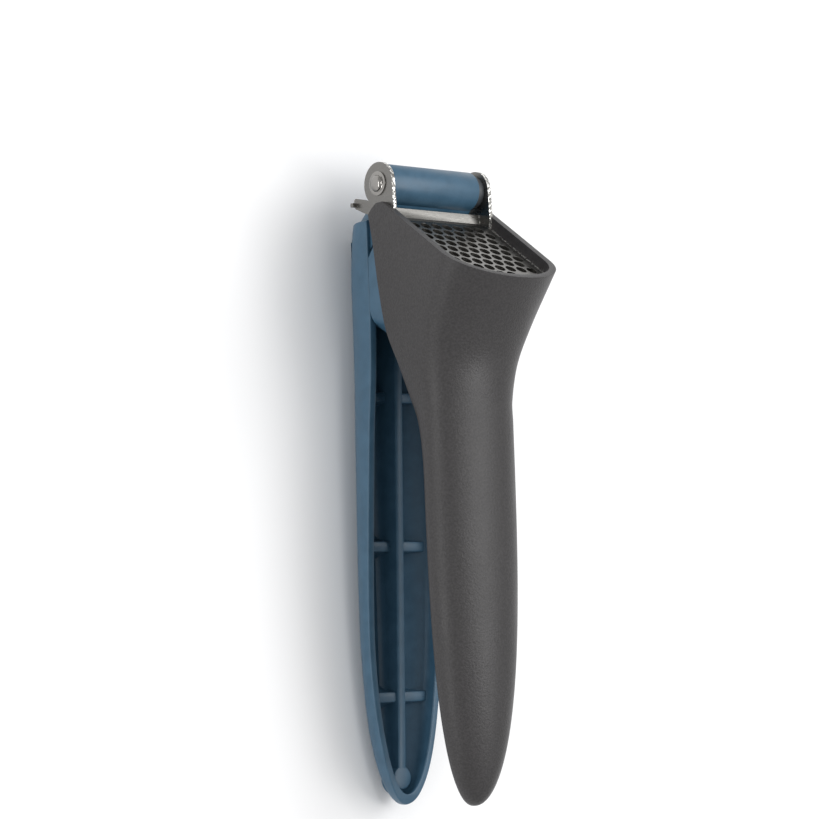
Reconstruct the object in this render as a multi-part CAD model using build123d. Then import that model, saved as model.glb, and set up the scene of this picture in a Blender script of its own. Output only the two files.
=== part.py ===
"""Two-handle garlic press with a hinge at the top end.

Frame: the press lies on the back of its lever. +X runs along the hinge pin, +Y from the
handle tips to the hinge, +Z up through the front of the chamber handle. The origin is the
centre of the bottom of the bounding box. Millimetres.

The pieces are drawn round the hinge axis (y = 0, z = 0) and moved into the frame when they
are written. "Reach" is the distance from the hinge axis towards the handle tips (-Y).
"""
import os
from math import cos, radians, sin, sqrt

from build123d import *

# ---- driving dimensions --------------------------------------------------------------
TIP_REACH = 174.5          # hinge axis to the handle tips
EAR_RADIUS = 6.1           # ear rounding about the hinge axis
BACK_LEVEL = -27.5         # flat land on the lever's back, behind the hinge axis
LAND_TRIM = 0.3            # the land is cut flat this far up from the moulded curve
LAND_HALF = 4.4            # half width of the curve's flat, before that cut

RIM_ANGLE = 35.3           # the rim plane leans this far back from the lever's plane
RIM_OFFSET = -2.65         # rim plane, below the hinge axis along the rim's normal
PLATE_OFFSET = -5.6        # outer face of the perforated plate, same measure
SHEET = 1.2                # stainless sheet of the basket
CHEEK_OUT = 18.5           # outer face of the basket's cheeks from the middle
CHEEK_FIT = 0.05           # cheeks to the head's side walls
PLATE_START = 10.6         # hinge-side edge of the plate, out from the hinge
FACE_SHEET = 0.8           # stainless face of the plunger
FACE_GAP = 0.5             # closed gap between the plunger's face and the plate

CHAMBER_RADIUS = 45.6      # chamber's front wall, about the hinge axis, at the middle
PLUNGER_GAP = 0.7          # plunger to chamber wall
HOLE_D = 3.2               # garlic holes
HOLE_PITCH = 3.95
HOLE_EDGE = 1.6            # holes stay this far from the plate's outline
FIRST_ROW = 13.4           # first row of holes, out from the hinge

BARREL_RADIUS = 5.7
BARREL_LEFT = -17.2        # the barrel bears on the left ear
BARREL_RIGHT = 14.9        # and stops short of the right ear, where a spacer fills the gap
SLEEVE_RADIUS = 3.4
PIN_RADIUS = 2.25
PIN_CLEARANCE = 0.05
SPACER_PLAY = 0.1
PIN_HEAD_RADIUS = 3.5
PIN_HEAD_HEIGHT = 1.5
WASHER_RADIUS = 4.6

WALL = 2.3                 # moulded walls
WEB = 2.4                  # cross ribs in both handles
WEB_REACHES = (58, 101, 144)
RIB = 2.6                  # central rib of the lever
WAIST_REACH = 60.0         # narrowest place between the head and the grips
SHOULDER_REACH = 5.4       # top of the grey head's side walls
LAND_START = 30.0
LAND_END = 150.0
BOSS_REACH = 167.0
BOSS_RADIUS = 3.2
RIB_SIDE = [(-20.0, -14.6), (-110.0, -18.2), (-167.0, -20.6), (-167.0, -30.0), (-20.0, -30.0)]

DECK_START = 14.0          # deck across the lever that carries the plunger
DECK_END = 38.0
DECK_LEVEL = -10.4
DECK_THICK = 8.5
PLUNGER_HALF = 16.1        # half width of the plunger
FOOT_START = 20.3          # hinge-side end of the plunger's foot
FOOT_HALF = 12.8           # half width of the plunger's foot, between the lever's walls
STEP_LEVEL = -8.3          # underside of the plunger beside its foot
CORE_LEVEL = -6.0          # floor inside the hollow plunger
SCREW_SPREAD = 8.0
SCREW_REACH = 28.0
SCREW_RADIUS = 1.6
SCREW_LONG = 10.5
RIVET_RADIUS = 1.3

HINGE_Y = (TIP_REACH - EAR_RADIUS) / 2
HINGE_Z = -BACK_LEVEL
HINGE_PLACE = Location((0, HINGE_Y, HINGE_Z))


# ---- directions in the tilted frame of the plate --------------------------------------
def tilted(run, offset):
    """(y, z) of a point `run` out from the hinge along the plate, `offset` up its normal."""
    lean = radians(RIM_ANGLE)
    return (-run * sin(lean) + offset * cos(lean), run * cos(lean) + offset * sin(lean))


def side_shape(points, half_width):
    """A closed outline of (y, z) points, as a slab across the press."""
    outline = Polyline(*[(y, z) for y, z in points], close=True)
    face = make_face(Plane.YZ * outline)
    return extrude(face, half_width, both=True)


def cross_rod(radius, x_from, x_to, y=0.0, z=0.0):
    rod = Cylinder(radius, x_to - x_from, rotation=(0, 90, 0))
    return Pos((x_from + x_to) / 2, y, z) * rod


def station(reach):
    """Drawing plane across the handles, with its own x along +X and y along +Z."""
    return Plane(origin=(0, -reach, 0), x_dir=(1, 0, 0), z_dir=(0, -1, 0))


# ---- grey handle ----------------------------------------------------------------------
def nose(reach):
    """Long taper to the rounded tip: 1 at the waist of the handle, 0 at the tip."""
    run = max(0.0, (reach - WAIST_REACH) / (TIP_REACH + 0.1 - WAIST_REACH))
    return sqrt(1 - run ** 3.6)


# reach, half width, level of the widest line, crown above it, rear level, rear half width
HEAD_ROWS = [
    (2.0, 20.4, 41.0, 21.0, -4.2, 20.2),
    (16.0, 20.4, 32.6, 17.6, -1.4, 20.2),
    (30.2, 19.9, 23.8, 14.2, 0.0, 19.6),
    (41.8, 18.3, 17.7, 12.0, 0.9, 18.1),
    (51.6, 16.6, 13.9, 10.9, 2.9, 15.6),
]
FLARE_END = 86.0           # the grip's rear edge stands out towards the head above this reach
GRIP_REACHES = (62, 68, 74, 86, 98, 110, 122, 134, 144, 153, 160.5, 166.5, 171, 173.5, 174.4)


def grip_row(reach):
    taper = nose(reach)
    level = 10.3 + 2.4 * taper ** 1.2
    flare = (max(0.0, FLARE_END - reach) / 24.0) ** 2
    rear = level - 4.3 * taper ** 0.6 - 2.6 * flare
    return (reach, 15.1 * taper, level, 10.5 * taper ** 0.8, rear, 9.8 * taper + 4.0 * flare)


GRIP_ROWS = [grip_row(reach) for reach in GRIP_REACHES]


def grip_section(reach, half, level, crown, rear, rear_half, inset=0.0, drop=0.0):
    """Crowned front, sides that round in to a flat rear edge."""
    half = half - inset
    rear_half = rear_half - inset
    crown = crown - inset
    rear = rear - drop
    middle = (rear + level) / 4 + rear / 2
    front = EllipticalCenterArc((0, level), half, crown, start_angle=0, arc_size=180)
    left = Bezier((-half, level), (-half, middle), (-rear_half, rear))
    back = Line((-rear_half, rear), (rear_half, rear))
    right = Bezier((rear_half, rear), (half, middle), (half, level))
    return station(reach) * make_face(front + left + back + right)


def above_plane(offset, depth=90.0):
    """Everything on the outer side of a plane parallel to the rim."""
    corners = [tilted(-60, offset), tilted(140, offset),
               tilted(140, offset + depth), tilted(-60, offset + depth)]
    return side_shape(corners, 40)


def chamber_plan(radius_mid, half):
    """Plan of the chamber from the hinge out: straight sides and a bowed front."""
    corner = radius_mid - 9.0
    shoulder_x = half - 2.6
    shoulder = radius_mid - 4.4
    right = ThreePointArc((half, corner), (half - 0.7, radius_mid - 6.4), (shoulder_x, shoulder))
    front = ThreePointArc((shoulder_x, shoulder), (0, radius_mid), (-shoulder_x, shoulder))
    left = ThreePointArc((-shoulder_x, shoulder), (0.7 - half, radius_mid - 6.4), (-half, corner))
    sides = Polyline((-half, corner), (-half, 0), (half, 0), (half, corner))
    return make_face(right + front + left + sides)


def swept_chamber(radius_mid, half):
    """The plan turned all round the hinge axis: what the plunger can sweep."""
    return revolve(chamber_plan(radius_mid, half), Axis.X, 360)


def chamber_handle_form():
    head = loft([grip_section(*row) for row in HEAD_ROWS + GRIP_ROWS[:1]])
    return head + loft([grip_section(*row) for row in GRIP_ROWS])


def make_chamber_handle():
    shoulder = -SHOULDER_REACH
    over_top = side_shape([(shoulder - 5.6, -5.5), (shoulder - 3.5, -3.1), (shoulder - 1.7, -1.2),
                           (shoulder - 0.5, 0.5), (shoulder, 3.2), (shoulder, 90), (40, 90),
                           (40, -5.5)], 40)
    body = chamber_handle_form() - above_plane(RIM_OFFSET) - over_top
    body -= swept_chamber(CHAMBER_RADIUS, CHEEK_OUT + CHEEK_FIT)
    hollow_rows = [row for row in GRIP_ROWS if row[0] < 170]
    body -= loft([grip_section(*row, inset=WALL, drop=2.0) for row in hollow_rows])
    inside = loft([grip_section(*row, inset=WALL / 2) for row in hollow_rows])
    for reach in WEB_REACHES[1:]:
        body += (Pos(0, -reach, 16.0) * Box(26, WEB, 12)) & inside
    return body


# ---- basket -----------------------------------------------------------------------------
def tilted_plane(offset):
    """Plane parallel to the plate, with its own y outward along the run."""
    y, z = tilted(0, offset)
    ny, nz = tilted(0, 1)
    return Plane(origin=(0, y, z), x_dir=(-1, 0, 0), z_dir=(0, ny, nz))


def plate_outline(inset=0.0):
    """The plate fills the chamber's section at its own level."""
    reach = sqrt(CHAMBER_RADIUS ** 2 - (PLATE_OFFSET - SHEET) ** 2) - CHEEK_FIT
    outer = chamber_plan(reach - inset, CHEEK_OUT - inset)
    keep = Pos(0, PLATE_START + 40) * Rectangle(80, 80)
    return outer & keep


def hole_pattern():
    row_step = HOLE_PITCH * sqrt(3) / 2
    field = plate_outline(inset=HOLE_EDGE)
    holes = []
    for row in range(11):
        run = FIRST_ROW + row * row_step
        shift = HOLE_PITCH / 2 if row % 2 else 0
        for column in range(-5, 6):
            centre = Pos(column * HOLE_PITCH + shift, run)
            disc = centre * Circle(HOLE_D / 2)
            if (disc & field).area > 0.97 * disc.area:
                holes.append(disc)
    return holes


def cheek_outline():
    """Side view of one cheek: round ear, neck, rear lobe, and the part inside the head."""
    corner_y, corner_z = tilted(34, PLATE_OFFSET - SHEET / 2)
    lip_y, lip_z = tilted(9.9, RIM_OFFSET - 0.1)
    return [
        (3.0, 5.3), (0.0, 6.1), (lip_y, lip_z),
        tilted(11.4, PLATE_OFFSET), (corner_y, corner_z),
        (corner_y - 6.0, corner_z - 5.5), (-33.0, 2.6), (-12.0, 0.2), (-9.3, -1.2),
        (-7.9, -5.7), (-5.9, -10.2), (-5.2, -10.8), (-3.3, -10.8), (-2.9, -10.0),
        (-4.0, -5.3), (-5.5, -1.3),
        (-4.2, -2.6), (0.0, -6.1), (3.0, -5.3),
    ]


def make_cheek(side):
    slab = side_shape(cheek_outline(), CHEEK_OUT)
    ear = cross_rod(EAR_RADIUS, -CHEEK_OUT, CHEEK_OUT)
    solid = slab + ear
    keep_x = side * (CHEEK_OUT - SHEET / 2)
    sheet = solid & (Pos(keep_x, 0, 0) * Box(SHEET, 200, 200))
    sheet -= cross_rod(PIN_RADIUS, -30, 30)
    lip = Pos(side * (CHEEK_OUT + 0.6), -4.85, -10.2) * Box(1.6, 1.1, 1.2)
    return sheet + lip


def make_basket():
    plane = tilted_plane(PLATE_OFFSET)
    flat = plate_outline() - hole_pattern()
    plate = extrude(plane * flat, -SHEET)
    lip_side = [tilted(10.8, PLATE_OFFSET), tilted(10.8, PLATE_OFFSET - SHEET), (-10.4, 1.1),
                (-6.8, 0.9), (-6.8, 2.0), (-9.5, 2.3)]
    lip = side_shape(lip_side, CHEEK_OUT - SHEET)
    return plate + lip + make_cheek(-1) + make_cheek(1)


# ---- hinge ------------------------------------------------------------------------------
def domed_head(side):
    """Low domed rivet head on the outside of an ear."""
    ball_radius = (PIN_HEAD_RADIUS ** 2 + PIN_HEAD_HEIGHT ** 2) / (2 * PIN_HEAD_HEIGHT)
    ball = Sphere(ball_radius)
    centre = side * (CHEEK_OUT + PIN_HEAD_HEIGHT - ball_radius)
    disc = cross_rod(PIN_HEAD_RADIUS, min(side * CHEEK_OUT, side * 30),
                     max(side * CHEEK_OUT, side * 30))
    return (Pos(centre, 0, 0) * ball) & disc


def make_hinge_pin():
    shank = cross_rod(PIN_RADIUS, -CHEEK_OUT - 0.2, CHEEK_OUT + 1.2)
    tail = cross_rod(PIN_RADIUS + 0.7, CHEEK_OUT + 0.8, CHEEK_OUT + 1.5)
    return shank + domed_head(-1) + tail


def make_end_washer():
    ring = cross_rod(WASHER_RADIUS, CHEEK_OUT, CHEEK_OUT + 0.8)
    return ring - cross_rod(PIN_RADIUS, 0, 30)


def make_spacer():
    ring = cross_rod(WASHER_RADIUS, BARREL_RIGHT + SPACER_PLAY, CHEEK_OUT - SHEET)
    return ring - cross_rod(PIN_RADIUS, 0, 30)


def make_sleeve():
    tube = cross_rod(SLEEVE_RADIUS, BARREL_LEFT, BARREL_RIGHT)
    return tube - cross_rod(PIN_RADIUS + PIN_CLEARANCE, -30, 30)


# ---- blue lever -------------------------------------------------------------------------
# reach and rim level
LEVER_RIM = [(9, -8.6), (20, -8.6), (36, -8.8), (52, -10.0), (68, -11.8), (84, -13.1),
             (100, -14.3), (114, -15.4), (128, -16.5), (140, -17.0), (150, -17.2),
             (158, -17.3), (165, -17.5), (170.5, -17.9), (173.4, -18.3), (174.4, -18.9)]
# reach, top, level where the sides start to round in, back: from the barrel to the channel
NECK_ROWS = [(-1.5, 3.0, -0.5, -5.6), (4.0, 1.8, -4.5, -14.0), (9.0, -2.2, -8.0, -20.5),
             (18.0, -8.6, -10.2, -26.0)]


def lever_back(reach):
    """The back rises off the table only at the top end and at the tip."""
    lowest = BACK_LEVEL - LAND_TRIM
    if reach > LAND_END:
        rise = (reach - LAND_END) / (TIP_REACH + 0.1 - LAND_END)
        return lowest + 7.5 * (1 - sqrt(1 - rise ** 2))
    if reach < LAND_START:
        rise = (LAND_START - reach) / (LAND_START - 8.0)
        return lowest + 5.3 * (1 - sqrt(1 - rise ** 2))
    return lowest


def lever_half(reach):
    """As wide as the barrel at the top, a little slimmer from the waist down."""
    settle = 1 / (1 + (reach / 46) ** 4)
    return (14.8 + 1.3 * settle) * nose(reach)


def channel_section(reach, half, top, side, back):
    """Upright walls, sides rounding in to a flat land on the back."""
    land = min(LAND_HALF, 0.42 * half)
    bend = back + 0.4 * (side - back)
    mouth = Polyline((-half, side), (-half, top), (half, top), (half, side))
    right = Bezier((half, side), (half, bend), (land, back))
    flat = Line((land, back), (-land, back))
    left = Bezier((-land, back), (-half, bend), (-half, side))
    return station(reach) * make_face(mouth + right + flat + left)


def lever_section(reach, rim, inset=0.0, lift=0.0):
    half = lever_half(reach) - inset
    return channel_section(reach, half, rim + lift, rim - 1.6, lever_back(reach) + inset)


def make_lever():
    outer = loft([lever_section(*row) for row in LEVER_RIM])
    hollow_rows = [row for row in LEVER_RIM if 15 < row[0] < 171]
    hollow = loft([lever_section(*row, inset=WALL, lift=6.0) for row in hollow_rows])
    body = outer - hollow
    inside = loft([lever_section(*row, inset=WALL / 2) for row in LEVER_RIM[1:14]])
    ribs = side_shape(RIB_SIDE, RIB / 2)
    for reach in WEB_REACHES:
        ribs += Pos(0, -reach, BACK_LEVEL + 3.6) * Box(34, WEB, 7.2)
    ribs += Pos(0, -BOSS_REACH, -22.0) * Cylinder(BOSS_RADIUS, 5.6)
    deck_long = DECK_END - DECK_START
    deck_mid = -(DECK_START + DECK_END) / 2
    ribs += Pos(0, deck_mid, DECK_LEVEL - DECK_THICK / 2) * Box(34, deck_long, DECK_THICK)
    body += ribs & inside
    body += loft([channel_section(row[0], BARREL_RIGHT, *row[1:]) for row in NECK_ROWS])
    body += cross_rod(BARREL_RADIUS, BARREL_LEFT, BARREL_RIGHT)
    body -= cross_rod(SLEEVE_RADIUS, -30, 30)
    body -= Pos(0, -90, BACK_LEVEL - 5) * Box(60, 260, 10)
    return body - screw_shanks()


# ---- plunger ----------------------------------------------------------------------------
FACE_TOP = PLATE_OFFSET - SHEET - FACE_GAP


def make_plunger_block():
    """Hollow wedge between the lever's deck and the pressing face, rounded to clear the chamber."""
    front = FACE_TOP - FACE_SHEET
    reach = CHAMBER_RADIUS - PLUNGER_GAP - 0.6
    edge = [tilted(11.5, front), tilted(60, front), (-60, 10)]
    wedge = side_shape(edge + [(-60, STEP_LEVEL), (-20.0, STEP_LEVEL), (-13.8, -3.4)], 30)
    block = wedge & swept_chamber(reach, PLUNGER_HALF)
    foot_long = DECK_END - FOOT_START
    foot_mid = -(FOOT_START + DECK_END) / 2
    foot = Box(2 * FOOT_HALF, foot_long, STEP_LEVEL + 0.6 - DECK_LEVEL)
    block += Pos(0, foot_mid, (STEP_LEVEL + 0.6 + DECK_LEVEL) / 2) * foot
    core = side_shape([tilted(17.0, front - WALL), tilted(60, front - WALL),
                       (-60, CORE_LEVEL), (-22.0, CORE_LEVEL)], 30)
    hollow = core & swept_chamber(reach - WALL, PLUNGER_HALF - WALL)
    block -= hollow - Box(WALL, 200, 200)
    return block - screw_shanks() - rivet_shanks(RIVET_RADIUS)


def face_outline():
    reach = sqrt((CHAMBER_RADIUS - PLUNGER_GAP - 0.6) ** 2 - FACE_TOP ** 2)
    keep = Pos(0, 11.5 + 40) * Rectangle(80, 80)
    return chamber_plan(reach - 0.6, PLUNGER_HALF - 0.2) & keep


def rivet_spots():
    return [(-9.0, 20.0), (9.0, 20.0), (0.0, 37.0)]


def rivet_shanks(radius):
    """Rods through the pressing face into the block."""
    rods = [Pos(x, run) * Circle(radius) for x, run in rivet_spots()]
    return extrude(tilted_plane(FACE_TOP) * Sketch(children=rods), -FACE_SHEET - WALL)


def make_plunger_face():
    sheet = extrude(tilted_plane(FACE_TOP) * face_outline(), -FACE_SHEET)
    return sheet - rivet_shanks(RIVET_RADIUS)


def make_face_rivets():
    return list(rivet_shanks(RIVET_RADIUS).solids())


def screw_shanks():
    """Two shanks down through the block's floor into the lever's deck."""
    rod = Cylinder(SCREW_RADIUS, SCREW_LONG, align=(Align.CENTER, Align.CENTER, Align.MAX))
    return Part(children=[Pos(x, -SCREW_REACH, CORE_LEVEL) * rod for x in (-SCREW_SPREAD, SCREW_SPREAD)])


def make_plunger_screws():
    """Pan-head screws, driven from inside the block before the face goes on."""
    head = Cylinder(1.9 * SCREW_RADIUS, 1.7, align=(Align.CENTER, Align.CENTER, Align.MIN))
    head = fillet(head.edges().group_by(Axis.Z)[-1], 0.8)
    screws = []
    for shank in screw_shanks().solids():
        x = shank.center().X
        screws.append(shank + Pos(x, -SCREW_REACH, CORE_LEVEL) * head)
    return screws


NODES = {
    "chamber_handle": make_chamber_handle,
    "strainer_basket": make_basket,
    "hinge_pin": make_hinge_pin,
    "pin_end_washer": make_end_washer,
    "spacer_washer": make_spacer,
    "hinge_sleeve": make_sleeve,
    "lever_handle": make_lever,
    "plunger_block": make_plunger_block,
    "plunger_face": make_plunger_face,
    "plunger_face_rivets": make_face_rivets,
    "plunger_screws": make_plunger_screws,
}

os.makedirs("parts", exist_ok=True)
for name, make in NODES.items():
    made = make()
    pieces = made if isinstance(made, list) else [made]
    placed = Compound(children=[HINGE_PLACE * piece for piece in pieces], label=name)
    export_step(placed, f"parts/{name}.step")
    box = placed.bounding_box()
    print(name, round(placed.volume), [round(v, 1) for v in (*box.min, *box.max)],
          len(placed.solids()))
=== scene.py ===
from math import cos, pi, radians, sin, sqrt

import bmesh
import bpy
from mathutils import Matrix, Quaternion, Vector


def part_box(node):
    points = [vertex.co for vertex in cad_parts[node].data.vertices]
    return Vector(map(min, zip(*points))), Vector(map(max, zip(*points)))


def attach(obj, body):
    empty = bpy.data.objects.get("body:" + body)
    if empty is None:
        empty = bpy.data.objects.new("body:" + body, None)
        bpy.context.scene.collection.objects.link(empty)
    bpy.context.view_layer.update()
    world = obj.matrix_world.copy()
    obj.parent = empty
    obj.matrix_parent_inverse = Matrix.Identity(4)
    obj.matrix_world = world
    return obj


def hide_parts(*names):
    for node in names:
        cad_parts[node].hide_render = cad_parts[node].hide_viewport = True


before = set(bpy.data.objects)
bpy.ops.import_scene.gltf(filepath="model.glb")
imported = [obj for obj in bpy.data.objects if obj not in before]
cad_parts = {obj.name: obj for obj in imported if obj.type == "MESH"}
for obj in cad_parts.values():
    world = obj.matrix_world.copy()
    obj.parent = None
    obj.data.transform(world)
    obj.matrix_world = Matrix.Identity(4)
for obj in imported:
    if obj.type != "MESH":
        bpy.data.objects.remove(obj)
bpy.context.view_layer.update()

# Camera: a long lens, above the left side of the press, rolled so that the hinge is at the
# top of the picture and the handle tips hang down.
CAMERA_AT = (-0.55108, -0.05235, 0.66990)
CAMERA_AIM = (-0.01189, 0.02037, 0.030)
CAMERA_ROLL = 82.124
lens_data = bpy.data.cameras.new("camera")
lens_data.sensor_width = 36.0
lens_data.lens = 131.87
lens_data.clip_start = 0.02
lens_data.clip_end = 20.0
camera = bpy.data.objects.new("camera", lens_data)
bpy.context.collection.objects.link(camera)
camera.location = CAMERA_AT
camera.rotation_mode = "QUATERNION"
sight = Vector(CAMERA_AIM) - Vector(CAMERA_AT)
turn = Quaternion((0.0, 0.0, 1.0), radians(CAMERA_ROLL))
camera.rotation_quaternion = sight.to_track_quat("-Z", "Y") @ turn
bpy.context.scene.camera = camera

# Floor and light: a pale floor under soft boxes. One long strip hangs over the press and
# one stands low at its left, and they draw the two lines of sheen down the grip.
bpy.context.scene.view_settings.view_transform = "Standard"
world = bpy.data.worlds.new("studio")
bpy.context.scene.world = world
world.use_nodes = True
sky = world.node_tree.nodes["Background"]
sky.inputs["Color"].default_value = (1.0, 1.0, 1.0, 1.0)
sky.inputs["Strength"].default_value = 0.6

floor_mesh = bpy.data.meshes.new("floor")
floor = bpy.data.objects.new("floor", floor_mesh)
bpy.context.collection.objects.link(floor)
floor_shape = bmesh.new()
bmesh.ops.create_grid(floor_shape, x_segments=1, y_segments=1, size=3.0)
floor_shape.to_mesh(floor_mesh)
floor_shape.free()
floor_paint = bpy.data.materials.new("floor_paint")
floor_paint.use_nodes = True
floor_shader = floor_paint.node_tree.nodes["Principled BSDF"]
floor_shader.inputs["Base Color"].default_value = (0.9, 0.9, 0.905, 1.0)
floor_shader.inputs["Roughness"].default_value = 0.9
floor_mesh.materials.append(floor_paint)


def soft_box(name, place, width, height, power):
    """Area lamp that looks at the middle of the press."""
    lamp_data = bpy.data.lights.new(name, "AREA")
    lamp_data.shape = "RECTANGLE"
    lamp_data.size = width
    lamp_data.size_y = height
    lamp_data.energy = power
    lamp = bpy.data.objects.new(name, lamp_data)
    bpy.context.collection.objects.link(lamp)
    lamp.location = place
    lamp.rotation_mode = "QUATERNION"
    aim = Vector((0.0, 0.0, 0.03)) - Vector(place)
    lamp.rotation_quaternion = aim.to_track_quat("-Z", "Y")


soft_box("key_box", (0.4, 0.3, 0.95), 0.7, 0.7, 4.8)
soft_box("top_strip", (0.1, -0.05, 0.85), 0.16, 0.9, 2.6)
soft_box("left_strip", (-0.95, -0.05, 0.16), 0.9, 0.14, 2.6)


# Chamber handle: one moulding in dark grey nylon. The grip is an egg-shaped shell, open at
# the back; its top flares into a scoop with a slanted, flat-lipped rim, and a bowed wall
# closes the chamber towards the grip.
MM = 0.001
WALL = 2.3
TIP = 174.6
INNER_TIP = 168.0
WAIST = 60.0
FLARE_END = 86.0
HEAD_SHARE = 0.42
HEAD_JOIN = 66.0
RIM_LEAN = radians(35.3)
RIM_OFFSET = -2.65
CHAMBER_RADIUS = 45.6
CHAMBER_HALF = 18.4
CHAMBER_THICKNESS = 1.0
pin_low, pin_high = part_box("hinge_pin")
HINGE = (pin_low + pin_high) / 2
HINGE_Y = HINGE.y / MM
HINGE_Z = HINGE.z / MM
# Each row: reach from the hinge, half width, level of the widest line, crown, rear level and
# rear half width, in millimetres.
HEAD_TABLE = [
    (2.0, 20.4, 41.0, 21.0, -4.2, 20.2),
    (16.0, 20.4, 32.6, 17.6, -1.4, 20.2),
    (30.2, 19.9, 23.8, 14.2, 0.0, 19.6),
    (41.8, 18.3, 17.7, 12.0, 0.9, 18.1),
    (51.6, 16.6, 13.9, 10.9, 2.9, 15.6),
]
# Level and reach of the rounded shoulder beside the ear.
SHOULDER = [(-5.5, 11.0), (-3.1, 8.9), (-1.2, 7.1), (0.5, 5.9), (3.2, 5.4), (90.0, 5.4)]


def nose(reach, end=TIP):
    """Long taper: 1 at the waist of a handle, 0 at its tip."""
    run = min(1.0, max(0.0, (reach - WAIST) / (end - WAIST)))
    return sqrt(1.0 - run ** 3.6)


def grip_row(reach):
    """Row of the head table, carried on down the grip."""
    taper = nose(reach)
    flare = (max(0.0, FLARE_END - reach) / 24.0) ** 2
    level = 10.3 + 2.4 * taper ** 1.2
    rear = level - 4.3 * taper ** 0.6 - 2.6 * flare
    return (reach, 15.1 * taper, level, 10.5 * taper ** 0.8, rear, 9.8 * taper + 4.0 * flare)


def hermite(rows, reach):
    """Smooth curve through the rows of a table, at one reach."""
    k = 0
    while k < len(rows) - 2 and rows[k + 1][0] < reach:
        k += 1
    near, far = rows[k], rows[k + 1]
    before, after = rows[max(k - 1, 0)], rows[min(k + 2, len(rows) - 1)]
    span = far[0] - near[0]
    s = (reach - near[0]) / span
    out = []
    for i in range(1, len(near)):
        slope_in = (far[i] - before[i]) / (far[0] - before[0]) * span
        slope_out = (after[i] - near[i]) / (after[0] - near[0]) * span
        value = (2 * s ** 3 - 3 * s ** 2 + 1) * near[i] + (s ** 3 - 2 * s ** 2 + s) * slope_in
        out.append(value + (3 * s ** 2 - 2 * s ** 3) * far[i] + (s ** 3 - s ** 2) * slope_out)
    return out


def straight(rows, at):
    """Straight runs through the rows of a two-column table."""
    at = min(rows[-1][0], max(rows[0][0], at))
    k = 0
    while k < len(rows) - 2 and rows[k + 1][0] < at:
        k += 1
    near, far = rows[k], rows[k + 1]
    return near[1] + (far[1] - near[1]) * (at - near[0]) / (far[0] - near[0])


def bend(a, b, c, t):
    """Point on a quadratic curve."""
    return ((1 - t) ** 2 * a[0] + 2 * t * (1 - t) * b[0] + t * t * c[0],
            (1 - t) ** 2 * a[1] + 2 * t * (1 - t) * b[1] + t * t * c[1])


KNOTS = HEAD_TABLE + [grip_row(62.0), grip_row(68.0), grip_row(74.0)]


def grip_point(across, reach, inset, end):
    """(x, z) on the section; across runs from -1 at one rear edge to 1 at the other."""
    row = hermite(KNOTS, reach) if reach < 68.0 else grip_row(reach)[1:]
    half, level, crown, rear, rear_half = row
    shrink = nose(reach, end) / max(nose(reach), 1e-6) if inset else 1.0
    half = (half - inset) * shrink
    rear_half = max(0.0, (rear_half - inset) * shrink)
    crown = (crown - inset) * (0.35 + 0.65 * shrink)
    side = 0.32
    if abs(across) > 1 - side:
        t = (abs(across) - 1 + side) / side
        x, z = bend((half, level), (half, (rear + level) / 4 + rear / 2), (rear_half, rear), t)
    else:
        turn_by = across / (1 - side) * pi / 2
        x = half * abs(sin(turn_by))
        z = level + crown * cos(turn_by)
    return (x if across > 0 else -x), z


def rim_reach(across, inset):
    """Where the rim plane, or the shoulder at its hinge end, cuts this line of the skin."""
    reach = 20.0
    for _ in range(60):
        x, z = grip_point(across, reach, inset, TIP)
        plane = (z * sin(RIM_LEAN) - RIM_OFFSET) / cos(RIM_LEAN)
        reach += 0.5 * (max(plane, straight(SHOULDER, z)) - reach)
    return reach


def sheet(shape, columns, rows, place):
    """A grid laid on a surface: place(u, v) gives a point for u and v from 0 to 1."""
    made = bmesh.ops.create_grid(shape, x_segments=columns, y_segments=rows, size=1.0)
    for vert in made["verts"]:
        u = min(1.0, max(0.0, (vert.co.x + 1) / 2))
        v = min(1.0, max(0.0, (vert.co.y + 1) / 2))
        vert.co = Vector(place(u, v)) * MM


def spread(v, power=2.2):
    """Denser rows towards the tip, where the form closes."""
    return 1.0 - max(0.0, 1.0 - v) ** power


def grip_skin(inset, end):
    """Outer or inner skin of the grip, from the rim to its tip."""
    rims = {}

    def place(u, v):
        across = 2 * u - 1
        key = round(across, 5)
        if key not in rims:
            rims[key] = rim_reach(across, inset)
        if v < HEAD_SHARE:
            reach = rims[key] + (HEAD_JOIN - rims[key]) * v / HEAD_SHARE
        else:
            along = (v - HEAD_SHARE) / (1 - HEAD_SHARE)
            reach = HEAD_JOIN + (end - HEAD_JOIN) * spread(along)
        x, z = grip_point(across, reach, inset, end)
        return (x, HINGE_Y - reach, HINGE_Z + z)

    return place


def close_rim(shape, lip):
    """Joins the free edges of an outer and an inner skin with a lip of rounded edges."""
    bmesh.ops.remove_doubles(shape, verts=shape.verts, dist=0.00001)
    edge = [e for e in shape.edges if e.is_boundary]
    bmesh.ops.bridge_loops(shape, edges=edge)
    bmesh.ops.recalc_face_normals(shape, faces=shape.faces)
    bmesh.ops.bevel(shape, geom=edge, offset=lip * MM, offset_type="OFFSET", segments=4,
                    profile=0.5, affect="EDGES", clamp_overlap=True, material=-1)


def finish_piece(name, shape, material, body, edge=0):
    """Makes the smooth-shaded object, rounds its sharp edges and puts it on its body."""
    mesh = bpy.data.meshes.new(name)
    shape.to_mesh(mesh)
    shape.free()
    for face in mesh.polygons:
        face.use_smooth = True
    mesh.set_sharp_from_angle(angle=radians(35))
    mesh.materials.append(material)
    piece = bpy.data.objects.new(name, mesh)
    bpy.context.collection.objects.link(piece)
    if edge:
        round_off = piece.modifiers.new("rounded_edges", "BEVEL")
        round_off.width = edge * MM
        round_off.segments = 2
        round_off.limit_method = "ANGLE"
        round_off.angle_limit = radians(50)
    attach(piece, body)
    return piece


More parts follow.
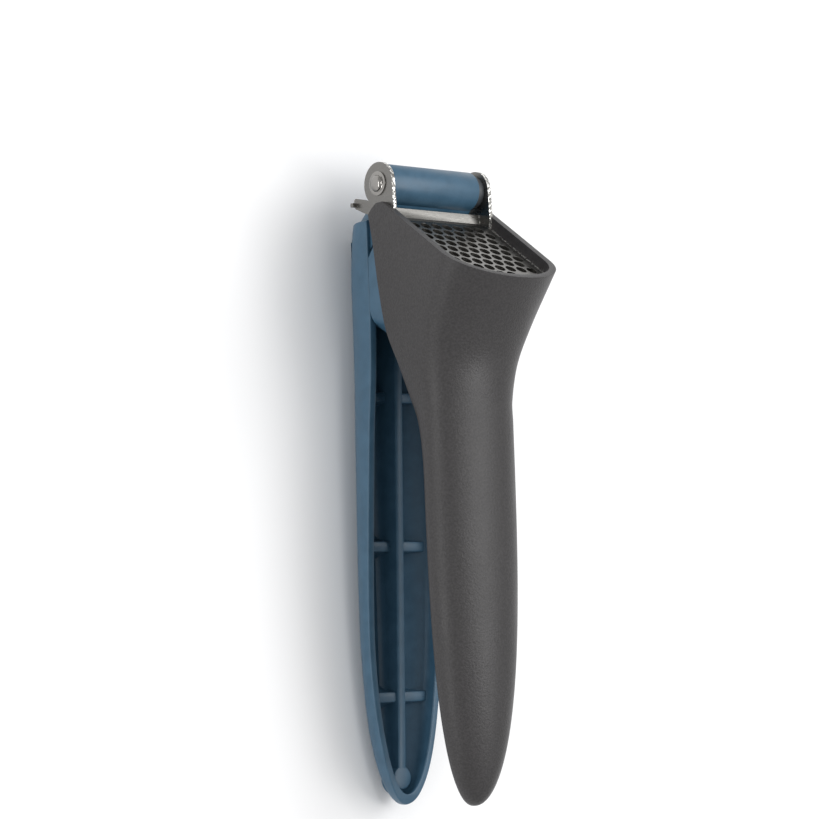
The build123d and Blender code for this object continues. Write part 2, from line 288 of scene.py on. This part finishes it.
def new_paint(name, colour, roughness, metallic=0.0):
    paint = bpy.data.materials.new(name)
    paint.use_nodes = True
    shader = paint.node_tree.nodes["Principled BSDF"]
    shader.inputs["Base Color"].default_value = (*colour, 1.0)
    shader.inputs["Roughness"].default_value = roughness
    shader.inputs["Metallic"].default_value = metallic
    return paint, paint.node_tree.nodes, paint.node_tree.links, shader


def noise(nodes, links, scale, detail=2.0, stretch=(1.0, 1.0, 1.0)):
    """Noise on the piece's own coordinates, in metres."""
    where = nodes.new("ShaderNodeTexCoord")
    stretch_by = nodes.new("ShaderNodeMapping")
    stretch_by.inputs["Scale"].default_value = stretch
    links.new(where.outputs["Object"], stretch_by.inputs["Vector"])
    made = nodes.new("ShaderNodeTexNoise")
    made.inputs["Scale"].default_value = scale
    made.inputs["Detail"].default_value = detail
    links.new(stretch_by.outputs["Vector"], made.inputs["Vector"])
    return made.outputs["Fac"]


def colour_range(nodes, links, shader, source, low, high, start=0.35, end=0.65):
    """Colour between two colours, driven by a texture."""
    made = nodes.new("ShaderNodeValToRGB")
    made.color_ramp.elements[0].position = start
    made.color_ramp.elements[0].color = (*low, 1.0)
    made.color_ramp.elements[1].position = end
    made.color_ramp.elements[1].color = (*high, 1.0)
    links.new(source, made.inputs["Fac"])
    links.new(made.outputs["Color"], shader.inputs["Base Color"])


def gloss_range(nodes, links, shader, source, low, high):
    """Roughness between two values, driven by a texture."""
    made = nodes.new("ShaderNodeMapRange")
    made.inputs["From Min"].default_value = 0.3
    made.inputs["From Max"].default_value = 0.7
    made.inputs["To Min"].default_value = low
    made.inputs["To Max"].default_value = high
    links.new(source, made.inputs["Value"])
    links.new(made.outputs["Result"], shader.inputs["Roughness"])


def grain(nodes, links, shader, height, depth):
    """Feeds a height texture to the shader's normal, depth in metres."""
    made = nodes.new("ShaderNodeBump")
    made.inputs["Strength"].default_value = 1.0
    made.inputs["Distance"].default_value = depth
    links.new(height, made.inputs["Height"])
    links.new(made.outputs["Normal"], shader.inputs["Normal"])


grey_nylon, nodes, links, shader = new_paint("grey_nylon", (0.04, 0.038, 0.039), 0.42)
shader.inputs["Specular IOR Level"].default_value = 0.32
speckle = noise(nodes, links, 1700.0, 4.0)
cloud = noise(nodes, links, 90.0, 3.0)
colour_range(nodes, links, shader, speckle, (0.033, 0.0315, 0.032), (0.047, 0.0445, 0.0455))
gloss_range(nodes, links, shader, cloud, 0.38, 0.46)
grain(nodes, links, shader, speckle, 0.0001)

shell = bmesh.new()
sheet(shell, 72, 130, grip_skin(0.0, TIP))
sheet(shell, 72, 130, grip_skin(WALL, INNER_TIP))
close_rim(shell, 0.75)


def chamber_wall(radius):
    """The bowed front wall of the chamber, turned about the hinge."""
    def place(u, v):
        x = (2 * u - 1) * CHAMBER_HALF
        run = radius - 6.4 * abs(2 * u - 1) ** 4
        lift = radians(45.5 - 43.0 * v)
        return (x, HINGE_Y - run * cos(lift), HINGE_Z + run * sin(lift))
    return place


sheet(shell, 32, 32, chamber_wall(CHAMBER_RADIUS))
sheet(shell, 32, 32, chamber_wall(CHAMBER_RADIUS + CHAMBER_THICKNESS))
open_edges = [e for e in shell.edges if e.is_boundary]
bmesh.ops.bridge_loops(shell, edges=open_edges)
bmesh.ops.recalc_face_normals(shell, faces=shell.faces)
chamber_shell = finish_piece("chamber_shell", shell, grey_nylon, "chamber")
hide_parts("chamber_handle")


# Lever handle: one moulding in blue nylon. A barrel at the top turns on the hinge, a short
# neck leads into a channel that is open to the front, stiffened by a central rib that ends
# in a round boss and by low cross ribs.
BACK = -27.5
LAND = 4.9
# Reach from the hinge and level of the channel's rim.
LEVER_RIM = [(4, -8.6), (20, -8.6), (36, -8.8), (52, -10.0), (68, -11.8), (84, -13.1),
             (100, -14.3), (114, -15.4), (128, -16.5), (140, -17.0), (150, -17.2),
             (158, -17.3), (165, -17.5), (170.5, -17.9), (173.4, -18.3), (174.6, -18.9)]
# Reach from the hinge, and levels of the neck's top, side and back.
NECK = [(-1.5, 3.0, -0.5, -5.6), (4.0, 1.8, -4.5, -15.0), (9.0, -2.2, -8.0, -22.6),
        (18.0, -9.2, -10.4, -25.3)]
BARREL_RADIUS = 5.7
BARREL_LEFT = -17.2
BARREL_RIGHT = 14.9
BORE_RADIUS = 3.4
# Reach from the hinge and level of the central rib's top.
RIB_TOP = [(18.0, -14.6), (110.0, -18.2), (158.0, -20.0), (168.0, -20.5)]
WEB_REACHES = (58.0, 101.0, 144.0)
BOSS_REACH = 167.0
RIM_TURN = 1.6
CHANNEL_START = 9.0
CHANNEL_INNER_TIP = 171.6
DECK_HALF = 13.6
FLOOR = BACK + WALL


def lever_back(reach):
    """Level of the lever's back: flat, and rounded up at both ends."""
    if reach > 150:
        return BACK + 7.2 * (1 - sqrt(1 - min(1.0, (reach - 150) / (TIP - 150)) ** 2))
    if reach < 30:
        return BACK + 5.0 * (1 - sqrt(1 - min(1.0, (30 - reach) / 22.0) ** 2))
    return BACK


def lever_half(reach):
    """Half width of the lever before it tapers."""
    return 14.8 + 1.3 / (1 + (reach / 46) ** 4)


def lever_skin(inset, start, end):
    """Outer or inner skin of the channel."""
    def place(u, v):
        reach = start + (end - start) * spread(v, 1.8)
        half = (lever_half(reach) - inset) * nose(reach, end)
        rim = hermite(LEVER_RIM, reach)[0]
        side = rim - RIM_TURN
        back = min(lever_back(reach) + inset, side - 0.3)
        land = min(LAND, 0.42 * half)
        edge = abs(2 * u - 1)
        if edge > 0.9:
            x, z = half, side + (rim - side) * (edge - 0.9) / 0.1
        elif edge > 0.16:
            x, z = bend((half, side), (half, back + 0.4 * (side - back)), (land, back),
                        (0.9 - edge) / 0.74)
        else:
            x, z = land * edge / 0.16, back
        return (x if u > 0.5 else -x, HINGE_Y - reach, HINGE_Z + z)
    return place


def neck_place(u, v):
    """Closed section that grows from the barrel into the channel."""
    reach = NECK[0][0] + (NECK[-1][0] - NECK[0][0]) * v
    top, side, back = hermite(NECK, reach)
    half = BARREL_RIGHT
    edge = abs(2 * u - 1)
    if edge > 0.55:
        x, z = half * (1 - edge) / 0.45, top
    elif edge > 0.4:
        x, z = half, top + (side - top) * (0.55 - edge) / 0.15
    elif edge > 0.1:
        x, z = bend((half, side), (half, back + 0.4 * (side - back)), (LAND, back),
                    (0.4 - edge) / 0.3)
    else:
        x, z = LAND * edge / 0.1, back
    return (x if u > 0.5 else -x, HINGE_Y - reach, HINGE_Z + z)


def rib_curve(u, height):
    """(offset, rise) over a moulded rib: filleted foot, drafted sides, rounded top."""
    curve = [(4.2, -0.6), (3.2, 0.15), (2.5, 0.6), (2.0, 1.4), (1.75, 2.4), (1.5, height - 0.6),
             (1.35, height - 0.2), (0.95, height), (0.0, height)]
    step = (1 - abs(2 * u - 1)) * (len(curve) - 1)
    k = min(len(curve) - 2, int(step))
    t = step - k
    d = curve[k][0] + (curve[k + 1][0] - curve[k][0]) * t
    return (d if u > 0.5 else -d), curve[k][1] + (curve[k + 1][1] - curve[k][1]) * t


def centre_rib(u, v):
    """Central rib, from the neck to the boss."""
    reach = RIB_TOP[0][0] + (BOSS_REACH - RIB_TOP[0][0]) * v
    floor_level = lever_back(reach) + WALL
    d, rise = rib_curve(u, straight(RIB_TOP, reach) - floor_level)
    return (d, HINGE_Y - reach, HINGE_Z + floor_level + rise)


def wall_out(reach, level):
    """Half width of the channel's outer skin at one level."""
    half = lever_half(reach) * nose(reach)
    side = hermite(LEVER_RIM, reach)[0] - RIM_TURN
    back = lever_back(reach)
    low, high = 0.0, 1.0
    for _ in range(20):
        t = (low + high) / 2
        x, z = bend((half, side), (half, back + 0.4 * (side - back)), (LAND, back), t)
        low, high = (t, high) if z > level else (low, t)
    return x


def cross_rib(reach):
    """Low rib from wall to wall at one reach."""
    def place(u, v):
        d, rise = rib_curve(u, 4.9)
        span = wall_out(reach, FLOOR + rise) - 1.2
        return ((2 * v - 1) * span, HINGE_Y - reach + d, HINGE_Z + FLOOR + rise)
    return place


def lathe(shape, profile, axis, centre, steps=64):
    """Turns a profile of (distance along the axis, radius) points about an axis."""
    along = Vector(axis)
    out = along.orthogonal().normalized()
    start = [shape.verts.new((Vector(centre) + along * a + out * r) * MM) for a, r in profile]
    wire = [shape.edges.new(pair) for pair in zip(start, start[1:])]
    bmesh.ops.spin(shape, geom=start + wire, cent=Vector(centre) * MM, axis=along,
                   angle=2 * pi, steps=steps, use_merge=True)
    bmesh.ops.remove_doubles(shape, verts=shape.verts, dist=0.000002)


blue_nylon, nodes, links, shader = new_paint("blue_nylon", (0.045, 0.11, 0.178), 0.42)
mottle = noise(nodes, links, 240.0, 4.0)
fine = noise(nodes, links, 1800.0, 3.0)
colour_range(nodes, links, shader, mottle, (0.036, 0.094, 0.152), (0.046, 0.112, 0.178))
gloss_range(nodes, links, shader, mottle, 0.36, 0.46)
grain(nodes, links, shader, fine, 0.00003)

channel = bmesh.new()
sheet(channel, 80, 120, lever_skin(0.0, CHANNEL_START, TIP))
sheet(channel, 80, 120, lever_skin(WALL, CHANNEL_START, CHANNEL_INNER_TIP))
close_rim(channel, 0.7)
sheet(channel, 16, 90, centre_rib)
for web in WEB_REACHES:
    sheet(channel, 16, 24, cross_rib(web))
sheet(channel, 80, 24, neck_place)
boss_at = (0.0, HINGE_Y - BOSS_REACH, HINGE_Z + lever_back(BOSS_REACH) + WALL)
lathe(channel, [(-0.8, 4.9), (0.2, 4.2), (0.9, 3.7), (2.3, 3.4), (2.8, 3.1), (3.0, 2.4),
                (3.0, 0.0)], (0, 0, 1), boss_at)
lathe(channel, [(BARREL_LEFT, BORE_RADIUS), (BARREL_LEFT, BARREL_RADIUS - 0.5),
                (BARREL_LEFT + 0.15, BARREL_RADIUS - 0.15), (BARREL_LEFT + 0.5, BARREL_RADIUS),
                (BARREL_RIGHT - 0.7, BARREL_RADIUS), (BARREL_RIGHT - 0.2, BARREL_RADIUS - 0.2),
                (BARREL_RIGHT, BARREL_RADIUS - 0.7), (BARREL_RIGHT, BORE_RADIUS),
                (BARREL_LEFT, BORE_RADIUS)], (1, 0, 0), (0, HINGE_Y, HINGE_Z))


def deck(u, v):
    """Closed section of the deck that carries the plunger."""
    corners = [(14.0, -10.4), (38.0, -10.4), (38.0, -18.9), (14.0, -18.9), (14.0, -10.4)]
    k = min(3, int(v * 4))
    t = v * 4 - k
    reach = corners[k][0] + (corners[k + 1][0] - corners[k][0]) * t
    level = corners[k][1] + (corners[k + 1][1] - corners[k][1]) * t
    return ((2 * u - 1) * DECK_HALF, HINGE_Y - reach, HINGE_Z + level)


sheet(channel, 8, 16, deck)
bmesh.ops.recalc_face_normals(channel, faces=channel.faces)
lever_channel = finish_piece("lever_channel", channel, blue_nylon, "lever")
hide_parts("lever_handle")


# Strainer basket: pressed from one stainless sheet, satin on its rolled faces. The front edges
# of the two ears carry a painted highlight: beaded spots of near-white colour where the edges face
# up, with a beaded bump on the same spots.
STEEL = (0.2, 0.195, 0.185)
# Near-white base colour that paints the highlight on the ears' front edges.
EDGE_HIGHLIGHT_COLOUR = (0.95, 0.94, 0.9, 1.0)
EAR_INNER = 17.1
EDGE_FACING = 0.75


def smooth_copy(node, name, material, body, edge):
    """Merged copy of a CAD node with smooth curves and rounded edges."""
    shape = bmesh.new()
    shape.from_mesh(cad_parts[node].data)
    bmesh.ops.transform(shape, matrix=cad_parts[node].matrix_world, verts=shape.verts)
    bmesh.ops.remove_doubles(shape, verts=shape.verts, dist=0.000002)
    bmesh.ops.dissolve_limit(shape, angle_limit=radians(0.5), verts=shape.verts, edges=shape.edges)
    bmesh.ops.recalc_face_normals(shape, faces=shape.faces)
    piece = finish_piece(name, shape, material, body, edge)
    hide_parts(node)
    return piece


def axes(nodes, links, source):
    """The X, Y and Z outputs of a vector."""
    split = nodes.new("ShaderNodeSeparateXYZ")
    links.new(source, split.inputs["Vector"])
    return split.outputs


def math_on(nodes, links, operation, first, second):
    """Math node on a texture and on a second texture or a number."""
    made = nodes.new("ShaderNodeMath")
    made.operation = operation
    links.new(first, made.inputs[0])
    if isinstance(second, float):
        made.inputs[1].default_value = second
    else:
        links.new(second, made.inputs[1])
    return made.outputs["Value"]


rolled, nodes, links, shader = new_paint("rolled_stainless", STEEL, 0.32, 1.0)
drawn = noise(nodes, links, 500.0, 4.0, (1.0, 6.0, 1.0))
beads = noise(nodes, links, 1300.0, 1.0)
at = axes(nodes, links, nodes.new("ShaderNodeTexCoord").outputs["Object"])
facing = axes(nodes, links, nodes.new("ShaderNodeNewGeometry").outputs["Normal"])
outward = math_on(nodes, links, "ABSOLUTE", at["X"], 0.0)
sideways = math_on(nodes, links, "ABSOLUTE", facing["X"], 0.0)
at_ear = math_on(nodes, links, "GREATER_THAN", outward, EAR_INNER * MM)
on_edge = math_on(nodes, links, "LESS_THAN", sideways, EDGE_FACING)
in_front = math_on(nodes, links, "GREATER_THAN", at["Z"], HINGE_Z * MM)
ear_edges = math_on(nodes, links, "MULTIPLY", at_ear, on_edge)
highlight_edges = math_on(nodes, links, "MULTIPLY", ear_edges, in_front)
lumps = nodes.new("ShaderNodeMapRange")
lumps.inputs["From Min"].default_value = 0.42
lumps.inputs["From Max"].default_value = 0.56
links.new(beads, lumps.inputs["Value"])
# Painted highlight: beaded spots on the ears' up-facing front edges get a near-white colour in
# place of the glints of light there, and the same spots get a bump.
beaded_highlight = math_on(nodes, links, "MULTIPLY", lumps.outputs["Result"], highlight_edges)
highlight_tint = nodes.new("ShaderNodeMix")
highlight_tint.data_type = "RGBA"
highlight_tint.inputs["A"].default_value = (*STEEL, 1.0)
highlight_tint.inputs["B"].default_value = EDGE_HIGHLIGHT_COLOUR
links.new(beaded_highlight, highlight_tint.inputs["Factor"])
links.new(highlight_tint.outputs["Result"], shader.inputs["Base Color"])
gloss_range(nodes, links, shader, drawn, 0.24, 0.4)
grain(nodes, links, shader, beaded_highlight, 0.00025)
smooth_copy("strainer_basket", "basket", rolled, "chamber", 0.12)


# Hinge: a turned steel pin with a low head that is upset on its left end over a small
# shoulder, a washer under its closed end, a nylon spacer and a thin steel sleeve.
pin_steel, nodes, links, shader = new_paint("pin_steel", (0.3, 0.29, 0.275), 0.16, 1.0)
turned = noise(nodes, links, 700.0, 3.0)
gloss_range(nodes, links, shader, turned, 0.1, 0.22)
grain(nodes, links, shader, turned, 0.000015)
pin = bmesh.new()
lathe(pin, [(-20.0, 0.0), (-19.97, 0.8), (-19.85, 1.5), (-19.6, 2.05), (-19.25, 2.3),
            (-18.95, 2.35), (-18.85, 2.5), (-18.95, 3.2), (-18.85, 3.45), (-18.5, 3.5),
            (-18.5, 2.25), (19.3, 2.25), (19.3, 2.95), (19.9, 2.9), (20.0, 2.6), (20.0, 0.0)],
      (1, 0, 0), (0, HINGE_Y, HINGE_Z))
bmesh.ops.recalc_face_normals(pin, faces=pin.faces)
hinge_pin = finish_piece("hinge_pin_turned", pin, pin_steel, "chamber")
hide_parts("hinge_pin")
smooth_copy("pin_end_washer", "end_washer", rolled, "chamber", 0.1)
smooth_copy("hinge_sleeve", "sleeve", rolled, "lever", 0.08)
dark_nylon, nodes, links, shader = new_paint("washer_nylon", (0.06, 0.065, 0.07), 0.45)
gloss_range(nodes, links, shader, noise(nodes, links, 600.0), 0.4, 0.5)
smooth_copy("spacer_washer", "spacer", dark_nylon, "chamber", 0.12)


# Plunger: a hollow blue nylon block screwed down on the lever's deck, with a stainless
# pressing face riveted to it.
smooth_copy("plunger_block", "block", blue_nylon, "lever", 0.4)
pressed, nodes, links, shader = new_paint("pressed_stainless", (0.25, 0.24, 0.22), 0.4, 1.0)
brushed = noise(nodes, links, 400.0, 4.0, (8.0, 1.0, 1.0))
gloss_range(nodes, links, shader, brushed, 0.34, 0.48)
smooth_copy("plunger_face", "face", pressed, "lever", 0.12)
smooth_copy("plunger_face_rivets", "face_rivets", pin_steel, "lever", 0.12)
smooth_copy("plunger_screws", "screws", pin_steel, "lever", 0.12)
